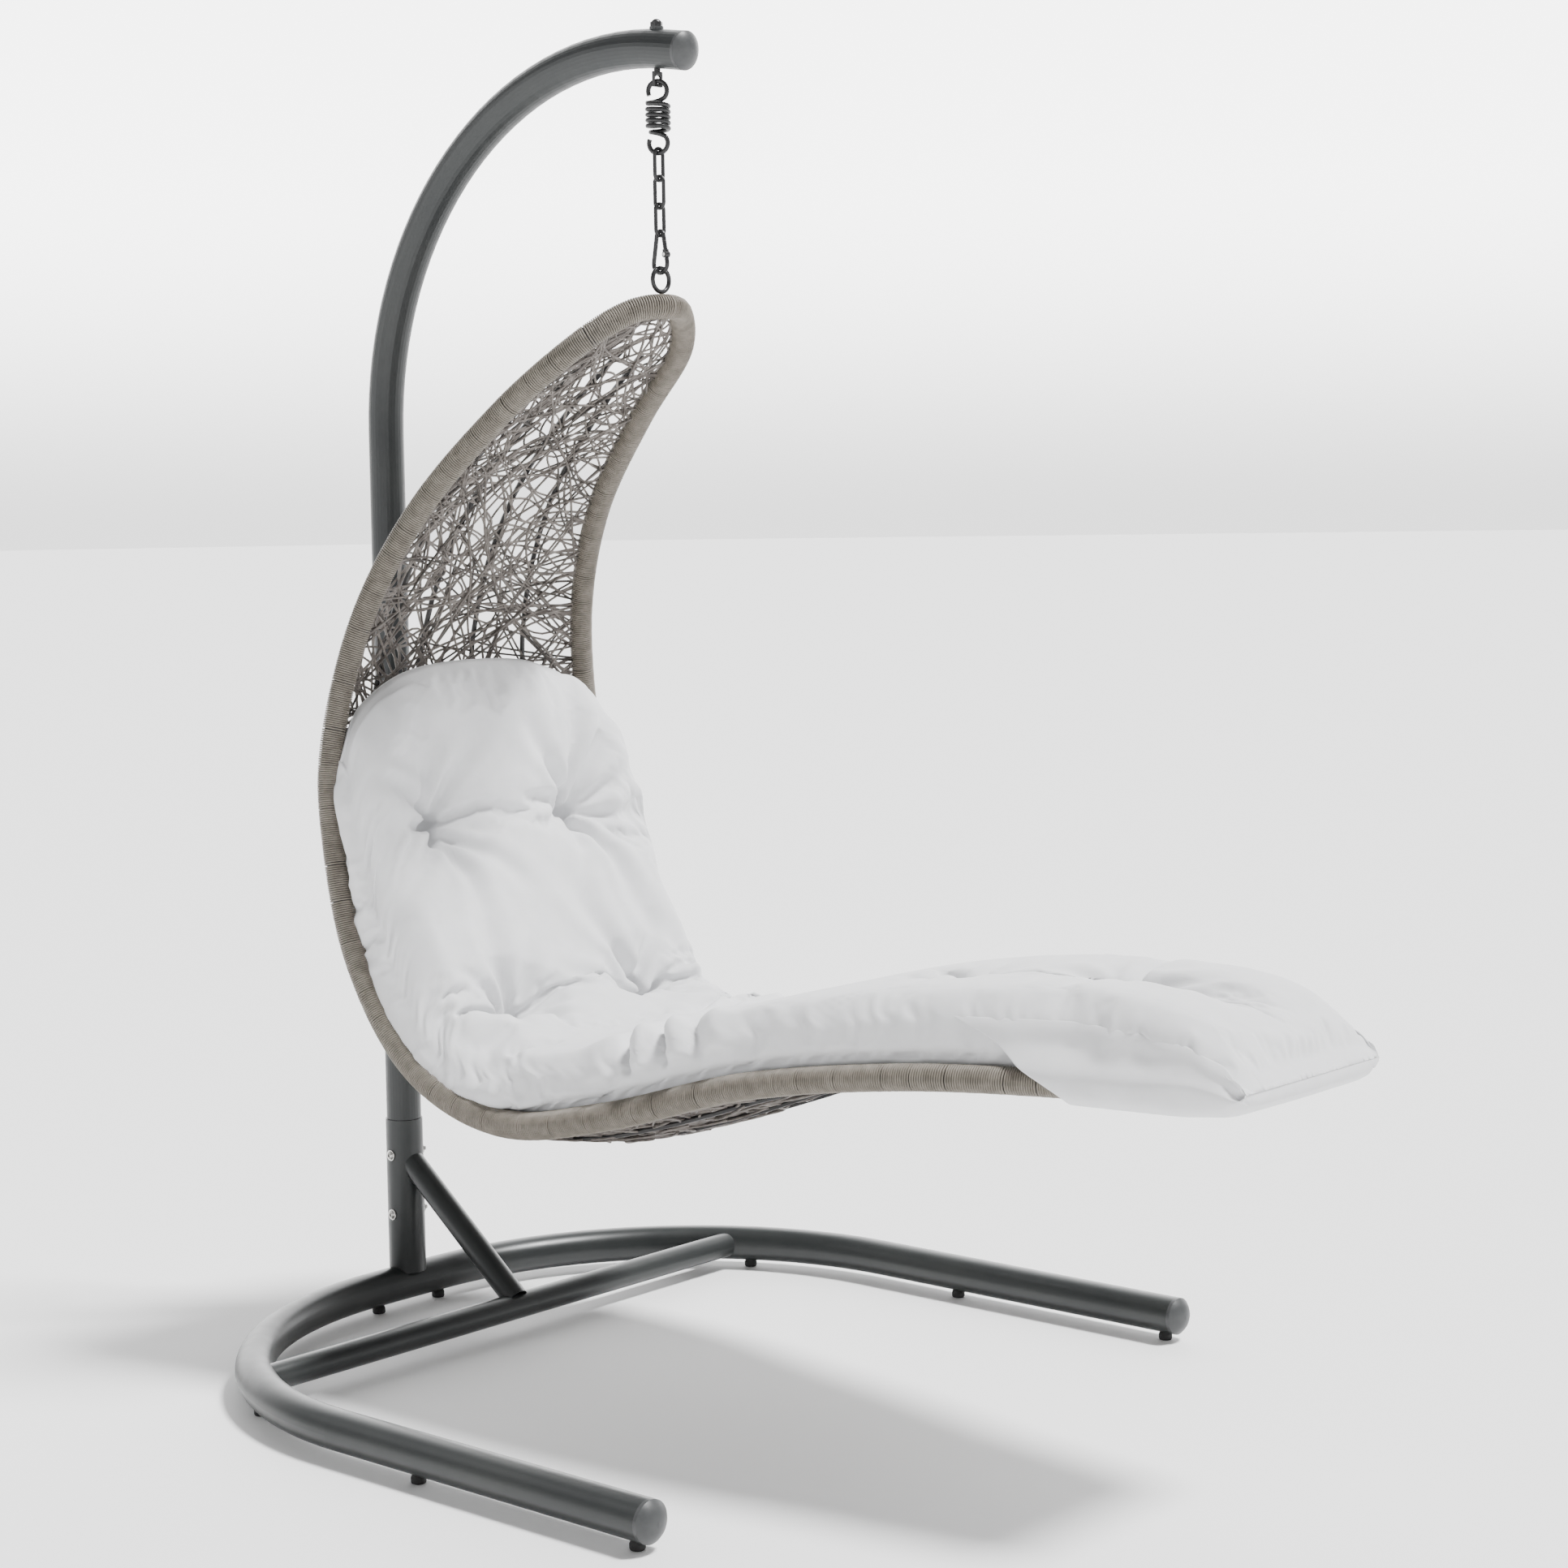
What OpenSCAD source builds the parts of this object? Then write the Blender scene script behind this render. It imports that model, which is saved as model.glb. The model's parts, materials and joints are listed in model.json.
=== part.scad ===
// Hanging lounge swing: a floor-standing arched mast carries a wicker chaise with a long cushion
// on a spring, a short chain and a snap hook. Millimetres, +Z up, floor at z = 0, +X towards the feet.

/* [Stand] */
// Outer diameter of the base tube
base_d = 60; // [50:1:70]
// Distance from the middle to the centre of each base leg
leg_y = 623; // [600:1:640]
// Bend radius of the base's rear corners
base_bend_r = 552; // [520:1:560]
// How far the legs' open ends reach in front of the hanging axis
leg_reach = 523; // [450:1:600]
// Height of the glides that show under the base
glide_h = 12; // [8:1:16]
// Outer diameter of the mast
mast_d = 59; // [50:1:59]
// Distance from the hanging axis back to the upright mast
mast_back = 640; // [630:1:650]
// Height where the mast begins to bend
mast_straight_z = 1500; // [1480:1:1520]
// Height of the top of the sleeve that holds the mast
sleeve_top_z = 328; // [300:1:360]
// Wall thickness of the stand's tubes
tube_wall = 2; // [1.5:0.1:3]

/* [Suspension] */
// Wire diameter of the spring
spring_wire_d = 7.5; // [6:0.1:7.5]
// Distance between the spring's turns
spring_pitch = 8.3; // [8:0.1:9]
// Angle of the spring's hooks about the vertical, from the chair's middle plane
spring_turn = 25; // [0:1:28]
// Wire diameter of the chain links
link_wire_d = 6; // [5:0.5:6]
// Inside length of a chain link
link_inner = 42; // [40:1:44]
// Wire diameter of the snap hook and of the rim's ring
hook_wire_d = 7; // [6:0.5:7]

/* [Chair] */
// Outer diameter of the wicker-wrapped rim
rim_d = 40; // [36:1:40]
// Outer diameter of the steel tube inside the rim
rim_tube_d = 33; // [28:1:33]
// Wall thickness of the steel tube inside the rim
rim_tube_wall = 1.8; // [1.2:0.1:3]
// Thickness of the woven basket
weave_t = 3; // [2:0.5:4]
// Diameter of the steel rods behind the weave
rib_d = 9; // [8:1:12]
// Height of the cushion above the middle of the rim
cushion_h = 100; // [90:1:110]

/* [Hidden] */

$fn = 64;
gap = 0.3;                              // air between parts that move against each other
fit = 0.05;                             // air between parts that are fastened together
past = 1;                               // how far a cutting shape runs past what it cuts

// Stand
base_r = base_d / 2;
base_z = glide_h + base_r;
corner_y = leg_y - base_bend_r;         // half of the short straight piece at the rear
rear_x = -mast_back;
corner_x = rear_x + base_bend_r;        // where the corners end and the straight legs begin
mast_r = mast_d / 2;
sleeve_r = mast_r + 2;
cross_r = 21.5;
cross_x = rear_x + 268;
cross_y = corner_y + sqrt(pow(base_bend_r, 2) - pow(corner_x - cross_x, 2));
brace_r = 21;
brace_foot = [cross_x - 15, base_z + 24];
brace_head = [rear_x + 16, base_z + 213];
saddle_z = base_z + 20;                 // the sleeve's lower edge, where it straddles the base
bolt_z = [base_z + 122, base_z + 225];
bolt_r = 4;
head_r = 7.5;
head_h = 4.4;
washer_r = 9;
washer_t = 1.6;
nut_r = 7.5;
glide_r = 11;
stud_r = 4;
glides = [[rear_x, 68], [cross_x + 26, cross_y + 16], [cross_x + 450, leg_y], [leg_reach - 20, leg_y]];
glides_at = [for (g = glides, side = [-1, 1]) [g[0], g[1] * side]];

// Mast: straight, then the arch, then a short straight end that dips a little
arch_r = 562.9;
arch_end = 99.6;                        // degrees the arch turns through
mast_foot_z = base_z + 45;
arch_x = rear_x + arch_r;
arch_z = mast_straight_z;
mast_end = [arch_x - arch_r * cos(arch_end), arch_z + arch_r * sin(arch_end)];
mast_tip = 38;                          // length of the straight end
hang_z = arch_z + sqrt(pow(arch_r, 2) - pow(arch_x, 2));   // centre of the mast at the hanging axis

// Suspension, from the top down
wire_r = spring_wire_d / 2;
tab_t = 5;
tab_w = 18;
tab_hole_r = 6;
tab_z = hang_z - 57.5;                  // lower edge of the hanger's tab
lip_z = tab_z + tab_t / 2;              // the spring rocks about the middle of this lip
hanger_r = 5;
tab_top_z = hang_z - mast_r - 5;
nut_seat_z = hang_z + mast_r + 3;
spring_hook_r = 15;
spring_coil_r = 16.1;
spring_turns = 5;
hook_top_z = lip_z + tab_t / 2 + gap + wire_r;
spring_mid_z = hook_top_z - spring_hook_r - 39.25;
spring_half = spring_turns * spring_pitch / 2;
hook_bottom_z = spring_mid_z - 39.25 - spring_hook_r;
link_r = link_wire_d / 2;
link_bow_r = 9;
link_len = link_inner + link_wire_d;    // from one end's wire to the other's
link_1_z = hook_bottom_z + wire_r + link_r + gap;          // top wire of each link
link_2_z = link_1_z - link_len + 2 * link_r + gap;
link_3_z = link_2_z - link_len + 2 * link_r + gap;
hook_r = hook_wire_d / 2;
snap_top_z = link_3_z - link_len + link_r + hook_r + gap;  // top and bottom wire of the snap hook
snap_len = 63;
snap_bottom_z = snap_top_z - snap_len;
snap_top_r = 7;
snap_bottom_r = 14;
snap_top_c = snap_top_z - snap_top_r;
snap_bottom_c = snap_bottom_z + snap_bottom_r;
snap_lean = asin((snap_bottom_r - snap_top_r) / (snap_top_c - snap_bottom_c));
snap_side = (snap_top_c - snap_bottom_c) * cos(snap_lean);
gate_at = 11;                           // the rivet's place along the hook's straight side
gate_len = 21;
knuckle_r = 5;
knuckle_w = 3.4;
ear_w = 2.6;
rivet_r = 1.5;
ring_r = 18;
ring_z = snap_bottom_z + 2 * hook_r + gap - ring_r;

// Chair rim, from the top where both sides meet, down the back, along the seat to the foot end.
// Each row: forward of the hanging axis, half width, height.
RIM = [[12, 0, 1668], [-14, 60, 1657], [-75, 118, 1605], [-200, 157, 1508], [-340, 200, 1365],
       [-430, 245, 1195], [-461, 287, 1000], [-440, 308, 850], [-380, 315, 660], [-250, 318, 505],
       [-60, 320, 445], [150, 312, 478], [400, 288, 548], [650, 254, 585], [880, 203, 595],
       [1040, 172, 592], [1098, 105, 590], [1108, 0, 590]];
rim_steps = 3;                          // rings between two rows
rim_sides = 10;
rim_r = rim_d / 2;
rim_end = len(RIM) - 1;
// How deep the basket sags behind the rim, by row of RIM
SAG = [[0, 0], [1, 0], [2, 10], [4, 35], [6, 54], [9, 58], [10, 54], [11, 38], [12, 22], [14, 8], [16, 4]];
weave_span = [1.8, 15.5];               // rows of RIM that the weave runs between
weave_steps = 44;
weave_cols = 8;
rib_span = [2.2, 12];
rib_steps = 32;
rib_at = [-0.66, -0.24, 0.24, 0.66];    // share of the half width
spreader_at = [6, 7.2, 8.4, 9.6];     // rows of RIM where a rod runs across behind the ribs
// Cushion: height over the rim's middle plane and depth below it, by row of RIM
cushion_span = [5.45, 13.9];
CUSHION_TOP = [[5.45, 0.4], [5.6, 0.75], [6, 0.98], [7, 1.18], [8, 1.26], [9, 1.22], [10, 1.02], [11, 0.95],
               [14, 1.1]];
cushion_steps = 44;
// Cushion over the foot pocket: forward of the hanging axis, half width, height, top over it, clear height
CUSHION_FOOT = [[889, 203, 595, 112, 33], [985, 188, 593, 104, 33], [1060, 178, 592, 84, 33],
                [1115, 170, 592, 56, 33], [1142, 163, 593, 33, 24]];
pocket_t = 3;
POCKET = [[893, 232, 58], [985, 218, 56], [1060, 205, 54], [1115, 193, 52], [1138, 180, 36]];
pocket_z = 591;                         // middle height of the pocket
pocket_nose_x = 1147;
front_x = pocket_nose_x;
hang_x = -(front_x + rear_x - sleeve_r) / 2;   // puts the origin under the middle of the whole

// Curve helpers
function unit(v) = v / norm(v);
function mirror_y(p) = [p[0], -p[1], p[2]];
function rim_row(i) = i < 0 ? mirror_y(RIM[-i]) : i > rim_end ? mirror_y(RIM[2 * rim_end - i]) : RIM[i];
function blend4(a, b, c, d, f) =
    0.5 * (2 * b + (c - a) * f + (2 * a - 5 * b + 4 * c - d) * f * f + (3 * b - a - 3 * c + d) * f * f * f);
function rim_at(t) = let (i = min(floor(t), rim_end - 1), f = t - i)
    blend4(rim_row(i - 1), rim_row(i), rim_row(i + 1), rim_row(i + 2), f);
// Direction away from the sitter, square to the rim's side view
function rim_out(t) = let (s = max(0.5, min(rim_end - 0.5, t)), d = rim_at(s + 0.1) - rim_at(s - 0.1))
    unit([d[2], 0, -d[0]]);
function rings_faces(rings, sides) = [for (i = [0:rings - 2], j = [0:sides - 1])
    let (k = (j + 1) % sides) each [[i * sides + j, (i + 1) * sides + j, i * sides + k],
                                    [i * sides + k, (i + 1) * sides + j, (i + 1) * sides + k]]];
function flip(faces) = [for (f = faces) [f[2], f[1], f[0]]];
function shifted(faces, by) = [for (f = faces) [for (v = f) v + by]];

// A closed solid through rings that each have the same number of points
module loft(rings) {
    sides = len(rings[0]);
    count = len(rings);
    points = [for (r = rings) each r];
    first = [for (j = [0:sides - 1]) j];
    last = [for (j = [sides - 1:-1:0]) (count - 1) * sides + j];
    polyhedron(points, concat(rings_faces(count, sides), [last, first]), convexity = 8);
}

// A wire or rod of radius r along a line of points
function wire_frame(path, i) = let (n = len(path), d = path[min(i + 1, n - 1)] - path[max(i - 1, 0)]) unit(d);
function next_side(side, along) = unit(side - along * (side * along));
function wire_sides(path, start) = [for (i = 0, s = next_side(start, wire_frame(path, 0)); i < len(path);
    i = i + 1, s = i < len(path) ? next_side(s, wire_frame(path, i)) : s) s];
module wire(path, r, start, sides = 12) {
    across = wire_sides(path, start);
    loft([for (i = [0:len(path) - 1]) let (a = across[i], b = cross(wire_frame(path, i), a))
        [for (j = [0:sides - 1]) path[i] + r * (a * cos(j * 360 / sides) + b * sin(j * 360 / sides))]]);
}

// A ring of points round the rim's line, side = 1 for the sitter's left and -1 for the right
function rim_ring_at(t, r, side) = let (p = rim_at(t), n = rim_out(t),
    d = t == 0 || t == rim_end ? [0, t == 0 ? 1 : -1, 0]
        : unit(rim_at(min(t + 0.05, rim_end)) - rim_at(max(t - 0.05, 0))),
    b = cross(d, n))
    [for (j = [0:rim_sides - 1])
        let (q = p + r * (n * cos(j * 360 / rim_sides) + b * sin(j * 360 / rim_sides)))
        [q[0], q[1] * side, q[2]]];

// A tube along one side of the rim
module rim_pipe(outer, inner, side) {
    count = rim_steps * rim_end + 1;
    outside = [for (i = [0:count - 1]) each rim_ring_at(i / rim_steps, outer, side)];
    inside = [for (i = [0:count - 1]) each rim_ring_at(i / rim_steps, inner, side)];
    n = count * rim_sides;
    skin = rings_faces(count, rim_sides);
    ends = [for (at = [0, count - 1], j = [0:rim_sides - 1])
        let (k = (j + 1) % rim_sides, a = at * rim_sides + j, b = at * rim_sides + k,
             f = [[a, b, n + a], [b, n + b, n + a]]) each at == 0 ? f : flip(f)];
    faces = concat(skin, flip(shifted(skin, n)), ends);
    polyhedron(concat(outside, inside), side > 0 ? faces : flip(faces), convexity = 10);
}

module placed() translate([hang_x, 0, 0]) children();
module rod_y(r, length) rotate([90, 0, 0]) cylinder(r = r, h = length, center = true);
module rod_x(r, length) rotate([0, 90, 0]) cylinder(r = r, h = length, center = true);
// A quarter or other arc of round rod, in the plane z = 0, starting on +X
module arc_rod(bend, r, angle) rotate_extrude(angle = angle) translate([bend, 0]) circle(r = r);

// Stand ---------------------------------------------------------------------------------

// The base's line: two straight legs, two corners and a short rear piece; extra lengthens the legs
module base_line(r, extra) {
    leg = leg_reach - corner_x + extra;
    translate([rear_x, 0, base_z]) rod_y(r, 2 * corner_y);
    for (side = [0, 1]) mirror([0, side, 0]) {
        translate([corner_x, corner_y, base_z]) rotate([0, 0, 90]) arc_rod(base_bend_r, r, 90);
        translate([corner_x, leg_y, base_z]) rotate([0, 90, 0]) cylinder(r = r, h = leg);
    }
}

module at_glides() for (g = glides_at) translate([g[0], g[1], 0]) children();

module base_tube() {
    color("dimgray") placed() difference() {
        base_line(base_r, 0);
        base_line(base_r - tube_wall, past);
        at_glides() cylinder(r = stud_r + fit, h = base_z);
    }
}

module leg_end_caps() {
    plug_l = 14;
    color("darkslategray") placed() for (side = [-1, 1])
        translate([leg_reach, leg_y * side, base_z]) rotate([0, 90, 0]) {
        translate([0, 0, -plug_l]) cylinder(r = base_r - tube_wall - fit, h = plug_l + past);
        translate([0, 0, fit]) cylinder(r = base_r, h = 6);
        intersection() {
            translate([0, 0, 6 - 25]) sphere(r = 39);
            translate([0, 0, 6]) cylinder(r = base_r, h = 30);
        }
    }
}

module glide_studs() {
    color("silver") placed() at_glides() translate([0, 0, glide_h - 6]) cylinder(r = stud_r, h = 18);
}

module floor_glides() {
    color("black") placed() difference() {
        at_glides() {
            cylinder(r1 = glide_r - 1, r2 = glide_r, h = 2);
            translate([0, 0, 2]) cylinder(r = glide_r, h = 6);
            translate([0, 0, 8]) cylinder(r1 = glide_r, r2 = glide_r - 3, h = glide_h - 4);
        }
        at_glides() translate([0, 0, glide_h - 6 - fit]) cylinder(r = stud_r + fit, h = 20);
        base_line(base_r + fit, 0);
    }
}

module crossbar() {
    color("dimgray") placed() difference() {
        translate([cross_x, 0, base_z]) rod_y(cross_r, 2 * cross_y);
        translate([cross_x, 0, base_z]) rod_y(cross_r - tube_wall, 2 * cross_y + past);
        base_line(base_r + fit, 0);
    }
}

module brace() {
    run = brace_head - brace_foot;
    lean = atan2(run[0], run[1]);
    color("dimgray") placed() difference() {
        translate([brace_foot[0], 0, brace_foot[1]]) rotate([0, lean, 0]) difference() {
            translate([0, 0, -20]) cylinder(r = brace_r, h = norm(run) + 20);
            translate([0, 0, -20 - past]) cylinder(r = brace_r - tube_wall, h = norm(run) + 20 + 2 * past);
        }
        translate([rear_x, 0, 0]) cylinder(r = sleeve_r + fit, h = sleeve_top_z);
        translate([cross_x, 0, base_z]) rod_y(cross_r + fit, 200);
    }
}

module post_sleeve() {
    color("dimgray") placed() difference() {
        translate([rear_x, 0, saddle_z]) cylinder(r = sleeve_r, h = sleeve_top_z - saddle_z);
        translate([rear_x, 0, 0]) cylinder(r = mast_r + fit, h = sleeve_top_z + past);
        translate([rear_x, 0, base_z]) rod_y(base_r + fit, 4 * sleeve_r);
        for (z = bolt_z) translate([rear_x, 0, z]) rod_y(bolt_r + fit, 4 * sleeve_r);
    }
}

module at_bolts() for (z = bolt_z) translate([rear_x, 0, z]) rotate([90, 0, 0]) children();

module sleeve_bolts() {
    face = sleeve_r + washer_t + 2 * fit;
    color("silver") placed() at_bolts() difference() {
        union() {
            translate([0, 0, -face - 12]) cylinder(r = bolt_r, h = 2 * face + 12);
            intersection() {
                translate([0, 0, face]) cylinder(r = head_r, h = head_h);
                translate([0, 0, face + head_h - 9]) sphere(r = 9);
            }
        }
        translate([0, 0, face + 1.6]) cylinder(r = 2.9, h = head_h, $fn = 6);
    }
}

module sleeve_washers() {
    color("silver") placed() at_bolts() for (end = [0, 1]) mirror([0, 0, end]) difference() {
        translate([0, 0, sleeve_r + fit]) cylinder(r = washer_r, h = washer_t);
        cylinder(r = bolt_r + fit, h = 2 * sleeve_r);
    }
}

module sleeve_nuts() {
    color("silver") placed() at_bolts() translate([0, 0, -sleeve_r - washer_t - 2 * fit - 6.5]) difference() {
        cylinder(r = nut_r, h = 6.5, $fn = 6);
        translate([0, 0, -past]) cylinder(r = bolt_r + fit, h = 9);
    }
}

// The mast as one pipe through rings of points
mast_steps = 32;
mast_sides = 32;
function mast_ring(at, lean, r) = [for (j = [0:mast_sides - 1]) let (a = j * 360 / mast_sides)
    at + r * [cos(a) * cos(lean), sin(a), -cos(a) * sin(lean)]];
function mast_at(i) = let (a = arch_end * i / mast_steps) [arch_x - arch_r * cos(a), 0, arch_z + arch_r * sin(a)];
function mast_rings(r) = concat([mast_ring([rear_x, 0, mast_foot_z], 0, r)],
    [for (i = [0:mast_steps]) mast_ring(mast_at(i), arch_end * i / mast_steps, r)],
    [mast_ring([mast_end[0] + mast_tip * sin(arch_end), 0, mast_end[1] + mast_tip * cos(arch_end)], arch_end, r)]);
module pipe(outer, inner) {
    count = len(outer);
    sides = len(outer[0]);
    n = count * sides;
    points = concat([for (r = outer) each r], [for (r = inner) each r]);
    skin = rings_faces(count, sides);
    ends = [for (at = [0, count - 1], j = [0:sides - 1])
        let (k = (j + 1) % sides, a = at * sides + j, b = at * sides + k,
             f = [[a, b, n + a], [b, n + b, n + a]]) each at == 0 ? f : flip(f)];
    polyhedron(points, concat(skin, flip(shifted(skin, n)), ends), convexity = 10);
}
module mast() {
    color("dimgray") placed() difference() {
        pipe(mast_rings(mast_r), mast_rings(mast_r - tube_wall));
        for (z = bolt_z) translate([rear_x, 0, z]) rod_y(bolt_r + fit, 4 * mast_r);
        translate([0, 0, hang_z - 2 * mast_r]) cylinder(r = hanger_r + fit, h = 4 * mast_r);
    }
}

module mast_end_cap() {
    plug_l = 12;
    color("darkslategray") placed() translate([mast_end[0], 0, mast_end[1]]) rotate([0, arch_end, 0]) {
        translate([0, 0, mast_tip - plug_l]) cylinder(r = mast_r - tube_wall - gap, h = plug_l + past);
        translate([0, 0, mast_tip + fit]) cylinder(r = mast_r, h = 5);
        intersection() {
            translate([0, 0, mast_tip + 5 - 26]) sphere(r = 39);
            translate([0, 0, mast_tip + 5]) cylinder(r = mast_r, h = 30);
        }
    }
}

// Hanging parts --------------------------------------------------------------------------

// A bolt down through the mast that ends in a flat tab with a rounded eye
module hanger_bolt() {
    eye_z = tab_z + tab_t / 2 + tab_hole_r + tab_t / 2;
    color("dimgray") placed() difference() {
        union() {
            translate([-tab_t / 2, -tab_w / 2, tab_z]) cube([tab_t, tab_w, tab_top_z - tab_z]);
            translate([0, 0, tab_top_z - past]) cylinder(r = hanger_r, h = nut_seat_z + 8 - tab_top_z);
        }
        translate([0, 0, eye_z]) rotate([0, 90, 0]) rotate_extrude() difference() {
            translate([0, -tab_t]) square([tab_hole_r + tab_t / 2, 2 * tab_t]);
            translate([tab_hole_r + tab_t / 2, 0]) circle(r = tab_t / 2);
        }
    }
}

module hanger_washer() {
    color("dimgray") placed() difference() {
        translate([0, 0, hang_z + mast_r - 3]) cylinder(r = 11, h = nut_seat_z - hang_z - mast_r + 3);
        translate([0, 0, hang_z]) cylinder(r = hanger_r + fit, h = 2 * mast_r);
        translate([arch_x, 0, arch_z]) rotate([90, 0, 0]) rotate([0, 0, 70]) arc_rod(arch_r, mast_r + gap + 0.3, 30);
    }
}

module dome_nut() {
    color("dimgray") placed() translate([0, 0, nut_seat_z + fit]) difference() {
        union() {
            cylinder(r = 10, h = 7, $fn = 6);
            intersection() {
                translate([0, 0, 3]) sphere(r = 9);
                cylinder(r = 9, h = 12);
            }
        }
        translate([0, 0, -past]) cylinder(r = hanger_r + fit, h = 7 + past);
    }
}

// The spring is one wire: a hook, a bend into the coil, the coil, and the same again upside down
function hook_arc(a) = [spring_hook_r * cos(a), 0, 39.25 + spring_hook_r * sin(a)];
spring_lead = [[3.2, 0, 25.2], [-4.5, -0.6, 23.1], [-11, -3.6, 21.6], [-15, -8.6, 20.6]];
coil_skip = 38;                         // degrees of the first and last turn that the lead takes up
hook_line = concat([for (a = [205:-12.5:-45]) hook_arc(a)], spring_lead);
coil_total = 360 * spring_turns - 2 * coil_skip;
function coil_at(a) = [-spring_coil_r * cos(a), -spring_coil_r * sin(a), spring_half - a * spring_pitch / 360];
// The coil starts a little past the lead's end, so that the wire's pieces don't run into each other
coil_line = [for (i = [0:84]) coil_at(coil_skip + 7 + i * (coil_total - 14) / 84)];
module at_spring() translate([0, 0, spring_mid_z]) rotate([0, 0, spring_turn]) children();

module spring_top_hook() color("black") placed() at_spring() wire(hook_line, wire_r, [0, 1, 0]);
module spring_coil() color("black") placed() at_spring() wire(coil_line, wire_r - fit, [0, 0, 1], 8);
module spring_bottom_hook() color("black") placed() at_spring()
    rotate([180, 0, 0]) wire(hook_line, wire_r, [0, 1, 0]);

// A link that stands in the plane x = 0, with its upper wire at z = 0
module chain_link() {
    for (end = [0, 1]) translate([0, 0, end == 0 ? -link_bow_r : link_bow_r - link_len])
        rotate([0, end * 180, 0]) rotate([90, 0, 90]) arc_rod(link_bow_r, link_r, 180);
    for (side = [-1, 1]) translate([0, side * link_bow_r, link_bow_r - link_len])
        cylinder(r = link_r, h = link_len - 2 * link_bow_r);
}

module chain_link_1() color("black") placed() translate([0, 0, link_1_z]) chain_link();
module chain_link_2() color("black") placed() translate([0, 0, link_2_z]) rotate([0, 0, 90]) chain_link();
module chain_link_3() color("black") placed() translate([0, 0, link_3_z]) chain_link();

// The snap hook's gate side, seen with the side's lower end at the origin and the side along +Z
module on_gate_side()
    translate([snap_bottom_r * cos(snap_lean), 0, snap_bottom_c + snap_bottom_r * sin(snap_lean)])
    rotate([0, -snap_lean, 0]) children();
function gate_side(at) = [snap_bottom_r * cos(snap_lean) - at * sin(snap_lean), 0,
                          snap_bottom_c + snap_bottom_r * sin(snap_lean) + at * cos(snap_lean)];
function mirror_x(p) = [-p[0], p[1], p[2]];
function arc_at(c, r, a) = [r * cos(a), 0, c + r * sin(a)];
nose_at = gate_at + gate_len + 0.6;
// From the nose over the top, down the closed side and round the bottom up to the gate's knuckle
snap_line = concat([gate_side(nose_at), gate_side((nose_at + snap_side) / 2)],
    [for (i = [0:10]) arc_at(snap_top_c, snap_top_r, snap_lean + i * (180 - 2 * snap_lean) / 10)],
    [mirror_x(gate_side(snap_side * 0.67)), mirror_x(gate_side(snap_side * 0.33))],
    [for (i = [0:16]) arc_at(snap_bottom_c, snap_bottom_r, 180 - snap_lean + i * (180 + 2 * snap_lean) / 16)],
    [gate_side(gate_at - knuckle_r - gap)]);

module snap_hook() {
    color("black") placed() difference() {
        union() {
            wire(snap_line, hook_r, [0, 1, 0]);
            on_gate_side() {
                translate([-2, -knuckle_w / 2, 1]) cube([4, knuckle_w, gate_at]);
                translate([0, 0, gate_at]) rod_y(knuckle_r, knuckle_w);
            }
        }
        on_gate_side() translate([0, 0, gate_at]) rod_y(rivet_r + fit, 20);
    }
}

module snap_gate() {
    ear_y = knuckle_w / 2 + 0.15;
    color("dimgray") placed() on_gate_side() translate([0, 0, gate_at]) difference() {
        union() {
            for (side = [0, 1]) mirror([0, side, 0]) {
                translate([0, ear_y + ear_w / 2, 0]) rod_y(knuckle_r, ear_w);
                translate([-2.6, ear_y, 0]) cube([5.2, ear_w, knuckle_r + 3]);
            }
            translate([0, 0, knuckle_r + gap]) cylinder(r = 3.4, h = gate_len - knuckle_r - gap);
        }
        rod_y(rivet_r + fit, 20);
    }
}

module gate_rivet() {
    shank = knuckle_w + 2 * ear_w + 0.3;
    color("silver") placed() on_gate_side() translate([0, 0, gate_at]) {
        rod_y(rivet_r, shank + 2);
        for (side = [-1, 1]) translate([0, side * (shank / 2 + 0.75), 0]) rod_y(2.6, 1);
    }
}

// Chair ----------------------------------------------------------------------------------

module rim_ring() color("black") placed() translate([0, 0, ring_z]) rotate([0, 90, 0])
    rotate_extrude() translate([ring_r, 0]) circle(r = hook_r);

module rim_tube_left() color("dimgray") placed() rim_pipe(rim_tube_d / 2, rim_tube_d / 2 - rim_tube_wall, 1);
module rim_tube_right() color("dimgray") placed() rim_pipe(rim_tube_d / 2, rim_tube_d / 2 - rim_tube_wall, -1);
module rim_wrap_left() color("rosybrown") placed() rim_pipe(rim_r, rim_tube_d / 2 + fit, 1);
module rim_wrap_right() color("rosybrown") placed() rim_pipe(rim_r, rim_tube_d / 2 + fit, -1);

// A point behind the rim: share is -1 to 1 across the width, off is how far behind the weave's face
function sag_at(t) = lookup(t, SAG);
// The rim runs outwards as it goes down, so its inner side is more than its radius away from its middle
function inside_w(t) = let (d = rim_at(min(t + 0.05, rim_end)) - rim_at(max(t - 0.05, 0)))
    rim_at(t)[1] - (rim_r + 3.5) * norm(d) / norm([d[0], d[2]]);
function behind(t, share, off) = 
    let (p = rim_at(t), w = inside_w(t), d = 2 + sag_at(t) * (1 - share * share) + off)
    [p[0], w * share, p[2]] + rim_out(t) * d;

module basket_weave() {
    span = weave_span[1] - weave_span[0];
    color("tan") placed() loft([for (i = [0:weave_steps]) let (t = weave_span[0] + span * i / weave_steps)
        concat([for (j = [0:weave_cols]) behind(t, -1 + 2 * j / weave_cols, weave_t)],
               [for (j = [weave_cols:-1:0]) behind(t, -1 + 2 * j / weave_cols, 0)])]);
}

module back_ribs() {
    span = rib_span[1] - rib_span[0];
    color("dimgray") placed() for (share = rib_at)
        wire([for (i = [0:rib_steps])
            behind(rib_span[0] + span * i / rib_steps, share, weave_t + rib_d / 2 + 2.5)],
             rib_d / 2, [0, 1, 0], 6);
}

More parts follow.
